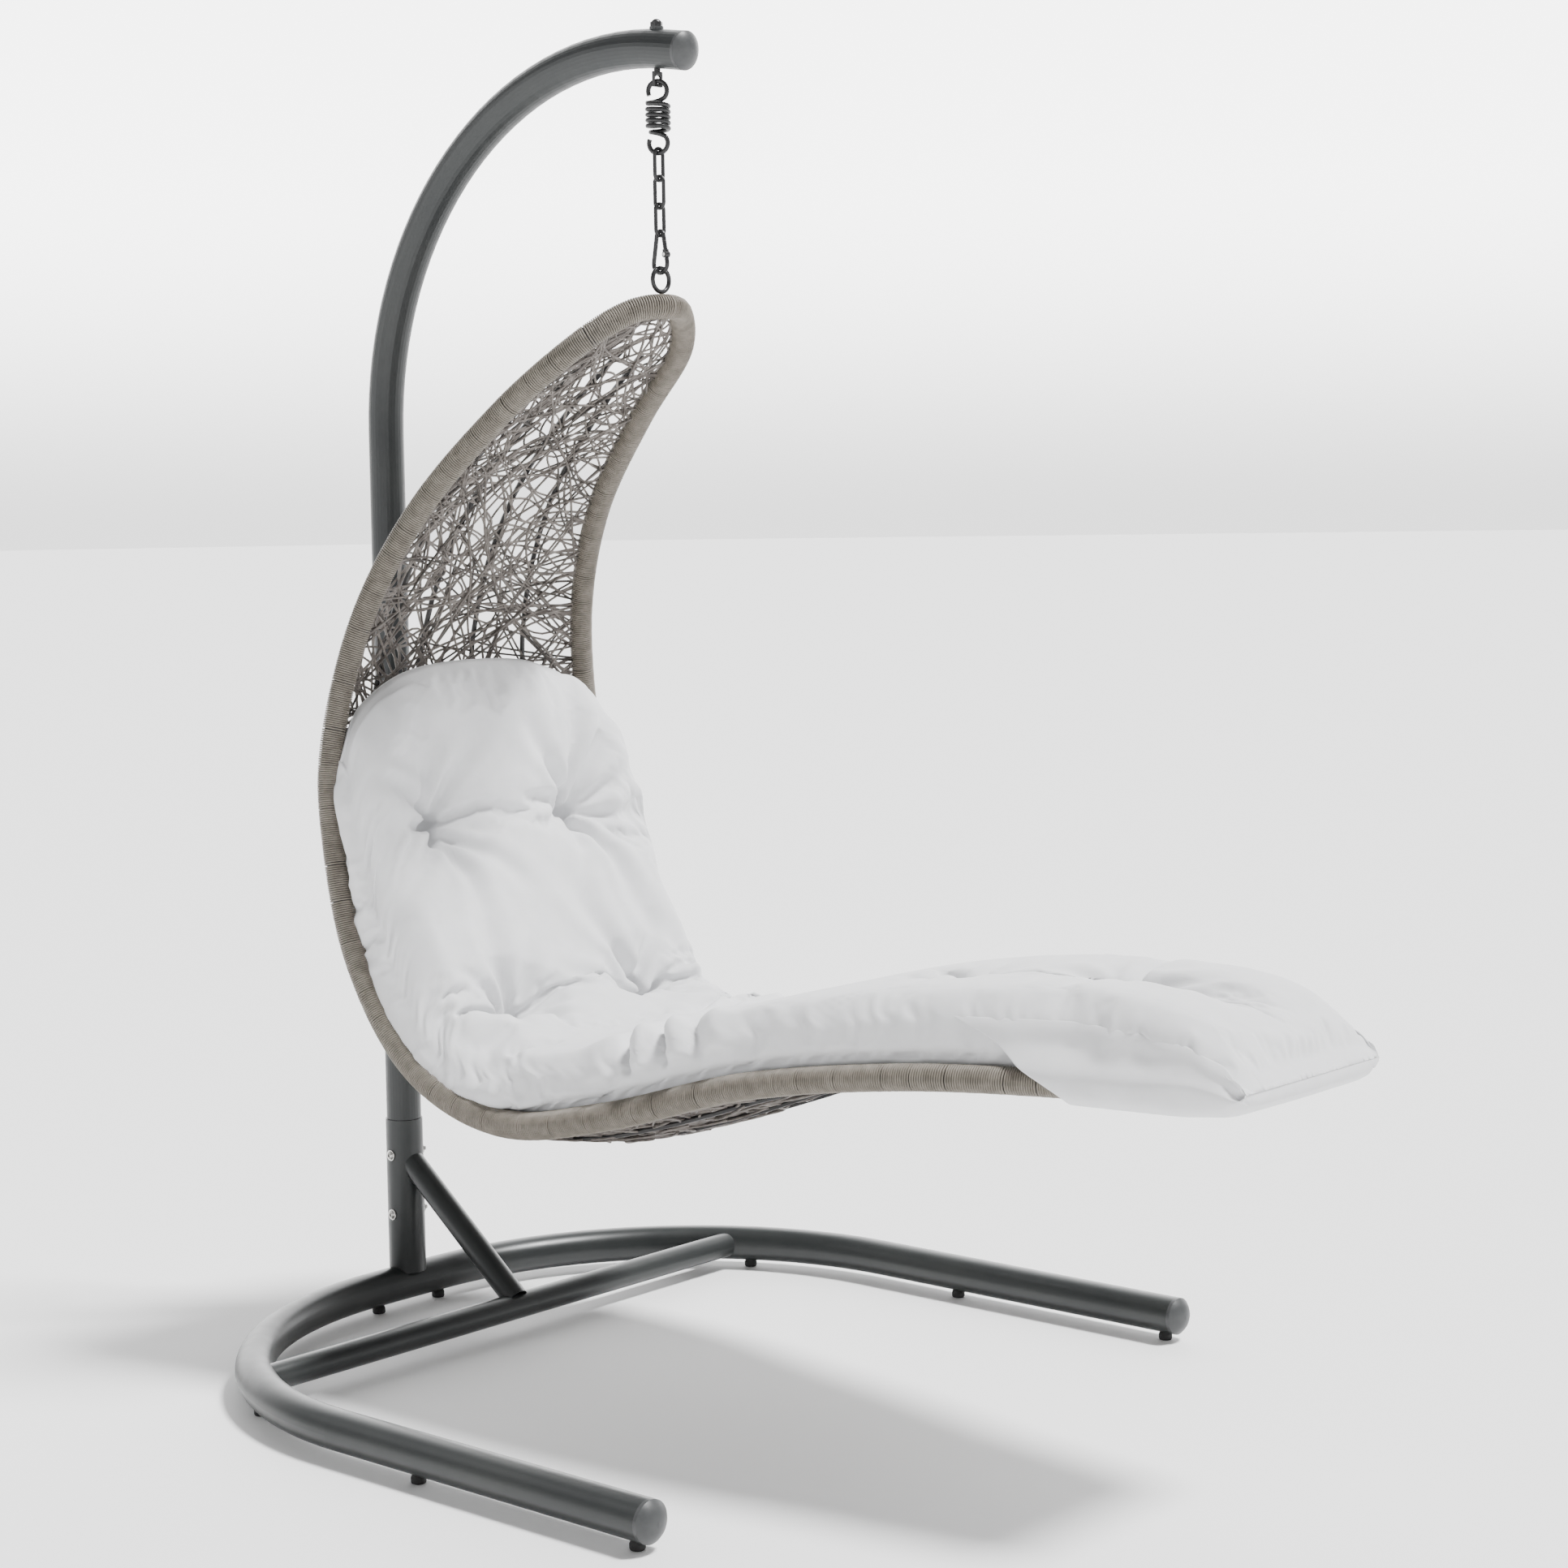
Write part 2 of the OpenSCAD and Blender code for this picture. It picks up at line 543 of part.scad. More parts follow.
module back_spreaders() {
    off = weave_t + rib_d + 3.5 + rib_d / 2;
    color("dimgray") placed() for (t = spreader_at)
        wire([for (j = [-8:8]) behind(t, 1.02 * j / 8, off)], rib_d / 2, [1, 0, 0], 6);
}

// Cushion section: w is the rim's half width, top and low its height over and depth under the rim
function cushion_half(w, top, low) = let (edge = rim_r + 6, over = low < 0, up = over ? -low * 0.88 : 0)
    [[w * 0.35, -low * 0.88 - (over ? 0.8 : 0)], [w - edge - 40, over ? up - 0.4 : -low * 0.26],
     [w - edge, over ? up : 1], [w - (over ? edge - 8 : edge), max(rim_r + 3, up + 0.1)],
     [w + 2, max(rim_r + 5, up + 0.5)],
     [w + 6, max(rim_r + 5, up + 1.5, top * 0.5)], [w - 2, max(rim_r + 6, up + 2.5, top * 0.82)],
     [w - 34, max(rim_r + 7, up + 3.5, top * 0.96)], [w * 0.45, max(rim_r + 8, up + 4, top)]];
function cushion_ring(p, out, top, low) = let (h = cushion_half(p[1], top, low), n = len(h))
    concat([for (i = [0:n - 1]) [p[0], h[i][0], p[2]] - out * h[i][1]],
           [for (i = [n - 1:-1:0]) [p[0], -h[i][0], p[2]] - out * h[i][1]]);

module seat_cushion() {
    span = cushion_span[1] - cushion_span[0];
    on_rim = [for (i = [0:cushion_steps]) let (t = cushion_span[0] + span * i / cushion_steps)
        cushion_ring(rim_at(t), rim_out(t), lookup(t, CUSHION_TOP) * cushion_h, max(0, sag_at(t) - 9))];
    on_foot = [for (r = CUSHION_FOOT) cushion_ring(r, [0, 0, -1], r[3], -r[4])];
    color("whitesmoke") placed() loft(concat(on_rim, on_foot));
}

// Fabric hood under the foot end of the cushion that slips over the end of the rim
function pocket_ring(x, w, h, inset) = let (a = w - inset, b = h / 2 - inset, c = b * 0.6)
    [for (q = [[a, b - c], [a - c, b], [c - a, b], [-a, b - c], [-a, c - b], [c - a, -b], [a - c, -b], [a, c - b]])
        [x, q[0], pocket_z + q[1]]];
module foot_pocket() {
    color("whitesmoke") placed() difference() {
        loft(concat([for (r = POCKET) pocket_ring(r[0], r[1], r[2], 0)],
                    [pocket_ring(pocket_nose_x, 168, 18, 0)]));
        loft(concat([pocket_ring(POCKET[0][0] - past, POCKET[0][1], POCKET[0][2], pocket_t)],
                    [for (r = POCKET) pocket_ring(r[0], r[1], r[2], pocket_t)]));
    }
}

base_tube();
leg_end_caps();
glide_studs();
floor_glides();
crossbar();
brace();
post_sleeve();
sleeve_bolts();
sleeve_washers();
sleeve_nuts();
mast();
mast_end_cap();
hanger_bolt();
hanger_washer();
dome_nut();
spring_top_hook();
spring_coil();
spring_bottom_hook();
chain_link_1();
chain_link_2();
chain_link_3();
snap_hook();
snap_gate();
gate_rivet();
rim_ring();
rim_tube_left();
rim_tube_right();
rim_wrap_left();
rim_wrap_right();
back_ribs();
back_spreaders();
basket_weave();
seat_cushion();
foot_pocket();
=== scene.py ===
"""Hanging chaise swing on an arched stand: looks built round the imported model."""
import json
import math

import bmesh
import bpy
import numpy as np
from mathutils import Matrix, Vector


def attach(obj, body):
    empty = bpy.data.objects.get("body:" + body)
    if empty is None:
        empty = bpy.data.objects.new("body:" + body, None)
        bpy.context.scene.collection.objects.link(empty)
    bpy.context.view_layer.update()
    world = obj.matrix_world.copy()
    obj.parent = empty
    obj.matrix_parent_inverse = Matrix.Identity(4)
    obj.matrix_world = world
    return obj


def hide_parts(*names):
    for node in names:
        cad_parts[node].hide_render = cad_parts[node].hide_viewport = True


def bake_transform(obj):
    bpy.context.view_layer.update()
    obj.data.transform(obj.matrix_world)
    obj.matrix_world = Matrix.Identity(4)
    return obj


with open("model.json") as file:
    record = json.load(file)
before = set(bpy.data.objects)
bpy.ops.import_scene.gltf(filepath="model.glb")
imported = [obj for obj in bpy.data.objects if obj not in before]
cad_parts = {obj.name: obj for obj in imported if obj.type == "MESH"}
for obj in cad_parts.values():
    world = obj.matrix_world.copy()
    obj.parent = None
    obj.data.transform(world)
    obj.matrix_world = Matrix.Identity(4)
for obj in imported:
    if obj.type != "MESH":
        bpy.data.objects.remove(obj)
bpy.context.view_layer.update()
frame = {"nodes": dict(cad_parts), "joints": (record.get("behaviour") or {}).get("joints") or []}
rng = np.random.default_rng(11)
HANG = next(j["pos_m"][0] for j in frame["joints"] if j["name"] == "spring_swing")
MM = 0.001

# Camera ----------------------------------------------------------------------------------
azimuth, elevation, roll = math.radians(40.91), math.radians(5.06), math.radians(-0.81)
CAMERA_AT = (2.82325, -3.261, 1.327)
back = Vector((math.sin(azimuth) * math.cos(elevation), -math.cos(azimuth) * math.cos(elevation),
               math.sin(elevation)))
right = Vector((math.cos(azimuth), math.sin(azimuth), 0))
up = back.cross(right)
right, up = right * math.cos(roll) + up * math.sin(roll), up * math.cos(roll) - right * math.sin(roll)
cam_data = bpy.data.cameras.new("camera")
cam_data.lens, cam_data.sensor_width = 66.18, 36
cam = bpy.data.objects.new("camera", cam_data)
bpy.context.collection.objects.link(cam)
cam.matrix_world = Matrix.Translation(CAMERA_AT) @ Matrix((right, up, back)).transposed().to_4x4()
bpy.context.scene.camera = cam


# Materials -------------------------------------------------------------------------------
def material(name):
    m = bpy.data.materials.new(name)
    m.use_nodes = True
    nodes = m.node_tree.nodes
    nodes.clear()
    out = nodes.new("ShaderNodeOutputMaterial")
    shader = nodes.new("ShaderNodeBsdfPrincipled")
    m.node_tree.links.new(shader.outputs[0], out.inputs[0])
    return m, nodes, m.node_tree.links, shader


def noise(nodes, links, scale, detail=3.0, rough=0.55, stretch=(1, 1, 1)):
    coords = nodes.new("ShaderNodeTexCoord")
    place = nodes.new("ShaderNodeMapping")
    place.inputs["Scale"].default_value = stretch
    links.new(coords.outputs["Object"], place.inputs["Vector"])
    n = nodes.new("ShaderNodeTexNoise")
    n.inputs["Scale"].default_value = scale
    n.inputs["Detail"].default_value = detail
    n.inputs["Roughness"].default_value = rough
    links.new(place.outputs[0], n.inputs["Vector"])
    return n.outputs["Fac"]


def ramp(nodes, links, value, stops):
    r = nodes.new("ShaderNodeValToRGB")
    while len(r.color_ramp.elements) < len(stops):
        r.color_ramp.elements.new(0.5)
    for e, (at, colour) in zip(r.color_ramp.elements, stops):
        e.position = at
        e.color = (*colour, 1)
    links.new(value, r.inputs[0])
    return r.outputs["Color"]


def bump(nodes, links, shader, value, strength, distance, before=None):
    b = nodes.new("ShaderNodeBump")
    b.inputs["Strength"].default_value = strength
    b.inputs["Distance"].default_value = distance
    links.new(value, b.inputs["Height"])
    if before:
        links.new(before.outputs[0], b.inputs["Normal"])
    links.new(b.outputs[0], shader.inputs["Normal"])
    return b


def rough_range(nodes, links, shader, value, low, high):
    r = nodes.new("ShaderNodeMapRange")
    r.inputs["To Min"].default_value = low
    r.inputs["To Max"].default_value = high
    links.new(value, r.inputs["Value"])
    links.new(r.outputs[0], shader.inputs["Roughness"])


def coated(name, dark, light, rough, grain=900, grain_depth=0.00006):
    """Powder-coated or painted metal: a fine orange peel, slight colour drift and scuffs."""
    m, nodes, links, shader = material(name)
    drift = noise(nodes, links, 5, 4)
    links.new(ramp(nodes, links, drift, [(0.3, dark), (0.7, light)]), shader.inputs["Base Color"])
    rough_range(nodes, links, shader, noise(nodes, links, 38, 5), rough - 0.06, rough + 0.08)
    shader.inputs["Metallic"].default_value = 0.15
    shader.inputs["Specular IOR Level"].default_value = 0.5
    bump(nodes, links, shader, noise(nodes, links, grain, 2), 0.35, grain_depth)
    return m


def strand_finish(name, dark, light, scale=210):
    """Round synthetic strand: the tone drifts along it, and its surface is satin."""
    m, nodes, links, shader = material(name)
    fine = noise(nodes, links, scale, 3, 0.6)
    links.new(ramp(nodes, links, fine, [(0.34, dark), (0.66, light)]), shader.inputs["Base Color"])
    rough_range(nodes, links, shader, noise(nodes, links, 90, 3), 0.42, 0.6)
    shader.inputs["Specular IOR Level"].default_value = 0.4
    bump(nodes, links, shader, noise(nodes, links, 1400, 2), 0.3, 0.0001)
    return m


def cushion_fabric(name):
    """White woven polyester: plain weave, faint slubs and a soft sheen."""
    m, nodes, links, shader = material(name)
    coords = nodes.new("ShaderNodeTexCoord")
    slub = noise(nodes, links, 30, 4, 0.6)
    tones = [(0.25, (0.72, 0.723, 0.735)), (0.75, (0.78, 0.783, 0.795))]
    links.new(ramp(nodes, links, slub, tones), shader.inputs["Base Color"])
    heights = []
    for axis in ("X", "Z"):
        wave = nodes.new("ShaderNodeTexWave")
        wave.wave_type = "BANDS"
        wave.bands_direction = axis
        wave.inputs["Scale"].default_value = 420
        wave.inputs["Distortion"].default_value = 0.6
        wave.inputs["Detail"].default_value = 1
        links.new(coords.outputs["Object"], wave.inputs["Vector"])
        heights.append(wave.outputs["Fac"])
    both = nodes.new("ShaderNodeMath")
    both.operation = "ADD"
    links.new(heights[0], both.inputs[0])
    links.new(heights[1], both.inputs[1])
    first = bump(nodes, links, shader, both.outputs[0], 0.12, 0.0002)
    bump(nodes, links, shader, noise(nodes, links, 45, 5, 0.6), 0.25, 0.0012, first)
    shader.inputs["Roughness"].default_value = 0.82
    shader.inputs["Sheen Weight"].default_value = 0.2
    shader.inputs["Sheen Roughness"].default_value = 0.4
    shader.inputs["Specular IOR Level"].default_value = 0.25
    return m


def plain(name, dark, light, rough, grain, metallic=0.0):
    """Bare plastic, rubber or plated metal: a blotchy tone and a fine grain."""
    m, nodes, links, shader = material(name)
    blotch = noise(nodes, links, 60, 4)
    links.new(ramp(nodes, links, blotch, [(0.3, dark), (0.7, light)]), shader.inputs["Base Color"])
    rough_range(nodes, links, shader, noise(nodes, links, 120, 4), rough - 0.08, rough + 0.08)
    shader.inputs["Metallic"].default_value = metallic
    bump(nodes, links, shader, noise(nodes, links, grain, 3), 0.3, 0.0001)
    return m


M_STAND = coated("stand_powder_coat", (0.018, 0.0205, 0.0215), (0.027, 0.0295, 0.029), 0.34)
M_CAP = plain("end_cap_plastic", (0.040, 0.042, 0.044), (0.052, 0.054, 0.055), 0.42, 1200)
M_ZINC = plain("zinc_plated_steel", (0.55, 0.54, 0.52), (0.70, 0.70, 0.68), 0.28, 700, 1.0)
M_GLIDE = plain("glide_rubber", (0.010, 0.010, 0.010), (0.018, 0.018, 0.018), 0.7, 800)
M_BLACK = coated("black_coated_steel", (0.012, 0.012, 0.013), (0.024, 0.024, 0.025), 0.34, 1500, 0.00004)
M_FRAME = coated("hidden_frame_steel", (0.016, 0.015, 0.015), (0.03, 0.028, 0.027), 0.45)
M_WIND = strand_finish("rim_strand", (0.150, 0.132, 0.108), (0.220, 0.197, 0.164), 60)
M_WEAVE = strand_finish("weave_strand", (0.075, 0.064, 0.056), (0.205, 0.183, 0.166), 40)
M_DARK = strand_finish("dark_strand", (0.030, 0.026, 0.023), (0.070, 0.060, 0.052))
M_CLOTH = cushion_fabric("cushion_fabric")

for names, finish in (
        (("base_tube", "crossbar", "brace", "post_sleeve", "mast"), M_STAND),
        (("leg_end_caps", "mast_end_cap", "hanger_washer"), M_CAP),
        (("glide_studs", "sleeve_bolts", "sleeve_washers", "sleeve_nuts", "gate_rivet"), M_ZINC),
        (("floor_glides",), M_GLIDE),
        (("hanger_bolt", "dome_nut", "spring_top_hook", "spring_coil", "spring_bottom_hook", "chain_link_1",
          "chain_link_2", "chain_link_3", "snap_hook", "snap_gate", "rim_ring"), M_BLACK),
        (("rim_tube_left", "rim_tube_right", "back_ribs", "back_spreaders"), M_FRAME)):
    for n in names:
        o = frame["nodes"][n]
        o.data.materials.clear()
        o.data.materials.append(finish)
        for poly in o.data.polygons:
            poly.use_smooth = True
        o.data.set_sharp_from_angle(angle=math.radians(40))


# Chair lines -----------------------------------------------------------------------------
# The rim's rows (forward of the hanging axis, half width, height) and the sag behind it, in millimetres
RIM = np.array([(12, 0, 1668), (-14, 60, 1657), (-75, 118, 1605), (-200, 157, 1508), (-340, 200, 1365),
                (-430, 245, 1195), (-461, 287, 1000), (-440, 308, 850), (-380, 315, 660), (-250, 318, 505),
                (-60, 320, 445), (150, 312, 478), (400, 288, 548), (650, 254, 585), (880, 203, 595),
                (1040, 172, 592), (1098, 105, 590), (1108, 0, 590)], float)
SAG = np.array([(0, 0), (1, 0), (2, 10), (4, 35), (6, 54), (9, 58), (10, 54), (11, 38), (12, 22), (14, 8),
                (16, 4)], float)
EDGE_IN, LEAST_W = 15, 6     # the basket ends this far inside the rim's line, and is at least this half width
END = len(RIM) - 1
MIRROR = np.array([1, -1, 1])
ROWS = np.concatenate([[RIM[1] * MIRROR], RIM, [RIM[END - 1] * MIRROR, RIM[END - 2] * MIRROR]])


def rim_at(t):
    """The left side of the rim's line at row number t, a smooth curve through its rows."""
    t = np.asarray(t, float)
    i = np.clip(np.floor(t).astype(int), 0, END - 1)
    f = (t - i)[..., None]
    a, b, c, d = ROWS[i], ROWS[i + 1], ROWS[i + 2], ROWS[i + 3]
    return 0.5 * (2 * b + (c - a) * f + (2 * a - 5 * b + 4 * c - d) * f ** 2 + (3 * b - a - 3 * c + d) * f ** 3)


def rim_out(t):
    """The direction away from the sitter at row number t."""
    s = np.clip(t, 0.5, END - 0.5)
    d = rim_at(s + 0.1) - rim_at(s - 0.1)
    n = np.stack([d[..., 2], 0 * d[..., 0], -d[..., 0]], -1)
    return n / np.linalg.norm(n, axis=-1, keepdims=True)


def place(p):
    """Millimetres about the hanging axis to metres in the shared frame."""
    return np.asarray(p) * MM + np.array([HANG, 0, 0])


def behind(t, share, off):
    """A point of the basket: share runs from -1 to 1 across it, off is the distance behind its surface."""
    p = rim_at(t)
    slope = rim_at(np.minimum(t + 0.05, END)) - rim_at(np.maximum(t - 0.05, 0))
    w = p[..., 1] - EDGE_IN * np.linalg.norm(slope, axis=-1) / np.hypot(slope[..., 0], slope[..., 2])
    w = np.maximum(w, LEAST_W)
    d = 2 + np.interp(t, SAG[:, 0], SAG[:, 1]) * (1 - share ** 2) + off
    return np.stack([p[..., 0], w * share, p[..., 2]], -1) + rim_out(t) * d[..., None]


def unit(v):
    return v / np.maximum(np.linalg.norm(v, axis=-1, keepdims=True), 1e-9)


def make(name, points, faces, finish, body, smooth=True):
    mesh = bpy.data.meshes.new(name)
    mesh.from_pydata([tuple(p) for p in points], [], faces)
    mesh.update()
    o = bpy.data.objects.new(name, mesh)
    bpy.context.collection.objects.link(o)
    mesh.materials.append(finish)
    if smooth:
        mesh.polygons.foreach_set("use_smooth", [True] * len(mesh.polygons))
    if body:
        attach(o, body)
    return o


def weld(bm, o):
    """Merges doubled points, turns the faces outwards and writes the mesh back to the piece."""
    bmesh.ops.remove_doubles(bm, verts=bm.verts[:], dist=2e-5)
    bmesh.ops.recalc_face_normals(bm, faces=bm.faces[:])
    bm.to_mesh(o.data)
    bm.free()


def tubes(name, lines, radii, sides_at, finish, body, sides=6):
    """One mesh of closed round strands: lines are arrays of points, sides_at the direction of ring point 0."""
    points, faces, base = [], [], 0
    turn = np.arange(sides) * 2 * math.pi / sides
    for line, radius, side in zip(lines, radii, sides_at):
        along = unit(np.gradient(line, axis=0))
        a = unit(side - along * np.sum(side * along, -1, keepdims=True))
        b = np.cross(along, a)
        cos, sin = np.cos(turn)[None, :, None], np.sin(turn)[None, :, None]
        ring = line[:, None] + radius * (a[:, None] * cos + b[:, None] * sin)
        points.append(ring.reshape(-1, 3))
        n = len(line)
        i, j = np.meshgrid(np.arange(n - 1), np.arange(sides), indexing="ij")
        k = (j + 1) % sides
        quads = np.stack([i * sides + j, i * sides + k, (i + 1) * sides + k, (i + 1) * sides + j], -1)
        faces += (quads.reshape(-1, 4) + base).tolist()
        faces.append([base + q for q in range(sides)][::-1])
        faces.append([base + (n - 1) * sides + q for q in range(sides)])
        base += n * sides
    return make(name, np.concatenate(points), faces, finish, body)


# Spring coil: its wire stretches between the two hooks, and is attached to no body
COIL_R, COIL_WIRE_R, COIL_TURNS, COIL_PITCH, COIL_TURN, COIL_SKIP = 16.1, 3.7, 5, 8.3, 25, 42     # mm, degrees
coil_node = frame["nodes"]["spring_coil"]
heights = [(coil_node.matrix_world @ v.co).z for v in coil_node.data.vertices]
coil_low, coil_high = min(heights) / MM, max(heights) / MM
a = np.radians(np.linspace(COIL_SKIP, 360 * COIL_TURNS - COIL_SKIP, 360))
spin = a + math.radians(COIL_TURN)
outward = -np.stack([np.cos(spin), np.sin(spin), 0 * a], -1)
drop = (COIL_TURNS / 2 - a / (2 * math.pi)) * COIL_PITCH + (coil_low + coil_high) / 2
coil = tubes("spring_coil_wire", [place(outward * COIL_R + drop[:, None] * np.array([0, 0, 1]))], [COIL_WIRE_R * MM],
             [outward], M_BLACK, None, 12)
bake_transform(coil)
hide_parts("spring_coil")

# Rim windings: one strand wound round the rim's tube on each side, with a small gap now and then
t_fine = np.linspace(0, END, 4001)
rim_line = rim_at(t_fine)
rim_len = np.concatenate([[0], np.cumsum(np.linalg.norm(np.diff(rim_line, axis=0), axis=1))])
rim_total = rim_len[-1]
WIND_R, WIND_PITCH, WIND_ROUND = 1.58, 3.5, 17.9     # strand radius, step along the rim, radius of the turns
TURN_POINTS = 13


def winding(side):
    steps = []
    while sum(steps) < rim_total:
        steps += [WIND_PITCH + rng.normal(0, 0.04)] * int(rng.integers(10, 26)) + [WIND_PITCH + rng.uniform(0.4, 1.7)]
    ends = np.minimum(np.concatenate([[0], np.cumsum(steps)]), rim_total)
    at = np.interp(np.arange(len(steps) * TURN_POINTS + 1) / TURN_POINTS, np.arange(len(ends)), ends)
    t = np.interp(at, rim_len, t_fine)
    p = rim_at(t)
    n = rim_out(t)
    d = rim_at(np.minimum(t + 0.03, END)) - rim_at(np.maximum(t - 0.03, 0))
    d[(t < 0.02) | (t > END - 0.02)] = (0, 1, 0)
    d = unit(d - n * np.sum(d * n, -1, keepdims=True))
    b = np.cross(d, n)
    a = np.arange(len(t)) * 2 * math.pi / TURN_POINTS
    out = n * np.cos(a)[:, None] + b * np.sin(a)[:, None]
    wobble = rng.normal(0, 0.08, len(t) // TURN_POINTS + 2)
    swollen = np.interp(t, [7, 8.5, 11, 12.5], [0, 2.2, 2.2, 0])
    r = WIND_ROUND + swollen + np.repeat(wobble, TURN_POINTS)[:len(t)]
    line = (p + out * r[:, None]) * np.array([1, side, 1])
    return tubes("rim_winding_" + ("left" if side > 0 else "right"), [place(line)], [WIND_R * MM],
                 [out * np.array([1, side, 1])], M_WIND, "chair", 6)


for side, word in ((1, "left"), (-1, "right")):
    o = winding(side)
    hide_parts("rim_wrap_" + word)

# Basket: strands woven at random over the curved back, seat and leg rest
t_at = lambda length: np.interp(length, rim_len, t_fine)
w_from, w_to = np.interp([0.95, 16.2], t_fine, rim_len)
EDGE = 1.02     # strands end a little outside the basket's edge, against the windings


def smooth_noise(n, size, knots):
    """Random heights at evenly spaced knots, joined by straight lines."""
    return np.interp(np.linspace(0, 1, n), np.linspace(0, 1, knots), rng.normal(0, size, knots))


def strand(share, length):
    """A strand's line from its places across the basket and along the rim."""
    n = len(share)
    off = 2.2 + smooth_noise(n, 2.2, max(4, n // 4))
    off = np.clip(np.convolve(np.pad(off, 2, mode="edge"), [0.1, 0.2, 0.4, 0.2, 0.1], "valid"), -2.5, 7)
    t = t_at(np.clip(length, w_from, w_to))
    line = behind(t, np.clip(share, -EDGE, EDGE), off)
    return place(line), rim_out(t)


def weave(count_cross, count_loop, count_long):
    """Strands from edge to edge, loops out from one edge, and long ones from edge to edge lengthwise."""
    out = []
    q = np.linspace(0, 1, 34)
    for _ in range(count_cross):
        l0 = rng.uniform(w_from - 40, w_to)
        l1 = l0 + rng.normal(0, 330)
        bow = sum(rng.normal(0, size) * np.sin(waves * math.pi * q) for size, waves in ((60, 1), (34, 2), (12, 5)))
        out.append(strand(-EDGE + 2 * EDGE * q, l0 + (l1 - l0) * q + bow))
    for _ in range(count_loop):
        side = rng.choice([-1, 1])
        deep = rng.uniform(0.25, 1.7)
        span = rng.uniform(70, 420)
        l0 = rng.uniform(w_from - span / 2, w_to - span / 2)
        lean = rng.normal(0, 70)
        share = side * (EDGE - deep * np.sin(math.pi * q) ** 0.8)
        out.append(strand(share, l0 + span * q + lean * np.sin(math.pi * q)))
    for _ in range(count_long):
        l0 = rng.uniform(w_from, w_to - 500)
        reach = rng.uniform(450, 800)
        s0, s1 = rng.uniform(-1, 1, 2)
        ends = np.array([math.copysign(EDGE, s0), s0 * 0.4 + rng.normal(0, 0.3), s1 * 0.4, math.copysign(EDGE, s1)])
        share = np.interp(q, [0, 0.33, 0.66, 1], ends)
        share = np.convolve(np.pad(share, 4, mode="edge"), np.ones(9) / 9, "valid")
        share[0], share[-1] = ends[0], ends[-1]
        out.append(strand(share, l0 + reach * q))
    return out


def under_loops(count):
    """Strands bound round the ribs under the seat, a little below the weave."""
    out = []
    q = np.linspace(0, 1, 30)
    for _ in range(count):
        t0 = rng.uniform(8.6, 13.4)
        l0 = float(np.interp(t0, t_fine, rim_len))
        s0, turn = rng.uniform(-0.8, 0.8), rng.uniform(0, 6.28)
        reach_l, reach_s = rng.uniform(30, 120), rng.uniform(0.08, 0.38)
        share = s0 + reach_s * np.sin(turn + q * rng.uniform(2.5, 5.5))
        length = l0 + reach_l * np.cos(turn + q * rng.uniform(2.5, 5.5)) + rng.normal(0, 60) * q
        off = rng.uniform(3, 12) + 3 * np.sin(q * 9 + turn)
        t = t_at(np.clip(length, w_from, w_to))
        out.append((place(behind(t, np.clip(share, -0.95, 0.95), off)), rim_out(t)))
    return out


def strand_piece(name, strands, radius, finish):
    lines, sides_at = zip(*strands)
    return tubes(name, lines, rng.uniform(0.92, 1.08, len(lines)) * radius * MM, sides_at, finish, "chair", 6)


basket = strand_piece("basket_strands", weave(180, 270, 66), 1.95, M_WEAVE)
basket_under = strand_piece("basket_strands_under", under_loops(150), 1.95, M_WEAVE)
basket_dark = strand_piece("basket_strands_shaded", weave(32, 48, 20), 1.8, M_DARK)
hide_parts("basket_weave")

# Cushion ---------------------------------------------------------------------------------
# Its path: along the rim from the middle of the back to the knees, then out over the foot end
t_on = np.linspace(5.3, 14, 300)
on = rim_at(t_on)
path_xz = np.concatenate([on[:, [0, 2]], [(930, 595), (985, 593), (1040, 592.5), (1095, 592.5), (1146, 592)]])
path_w = np.concatenate([on[:, 1], [197, 188, 181, 174, 166]])
path_t = np.concatenate([t_on, [14.3, 14.65, 15, 15.3, 15.6]])
path_s = np.concatenate([[0], np.cumsum(np.linalg.norm(np.diff(path_xz, axis=0), axis=1))])
grid_s = np.linspace(0, path_s[-1], 700)


def eased(values, width):
    """Values smoothed over a window of so many samples, true to their ends."""
    k = np.hanning(width)
    padded = np.pad(values, width // 2, mode="reflect", reflect_type="odd")
    return np.convolve(padded, k / k.sum(), "valid")[:len(values)]


grid_x = eased(np.interp(grid_s, path_s, path_xz[:, 0]), 25)
grid_z = eased(np.interp(grid_s, path_s, path_xz[:, 1]), 25)
grid_w = eased(np.interp(grid_s, path_s, path_w), 41)
grid_t = np.interp(grid_s, path_s, path_t)
s_of = lambda t: float(np.interp(t, path_t, path_s))
tangent = unit(np.stack([np.gradient(grid_x), 0 * grid_x, np.gradient(grid_z)], -1))
normal = np.stack([-tangent[:, 2], 0 * grid_x, tangent[:, 0]], -1)
# The cushion's thickness over the rim, by place along the rim
TOP = np.array([(5.3, 50), (5.7, 72), (6.2, 92), (7, 108), (8, 115), (9, 110), (9.8, 92), (11, 84), (12.5, 94),
                (14, 104), (14.65, 102), (15, 88), (15.3, 60), (15.6, 26)], float)
grid_top = eased(np.interp(grid_t, TOP[:, 0], TOP[:, 1]), 61)
grid_low = eased(np.maximum(0, np.interp(grid_t, SAG[:, 0], SAG[:, 1]) - 7) * (grid_t < 13.8), 41)
# How far the side bulges past the rim's line
grid_over = np.interp(grid_t, [5.3, 11, 13, 14, 15.6], [4, 8, 7, 4, 2])

S_HEAD, S_FOOT = 14.0, path_s[-1]
rings, cols = 200, 132


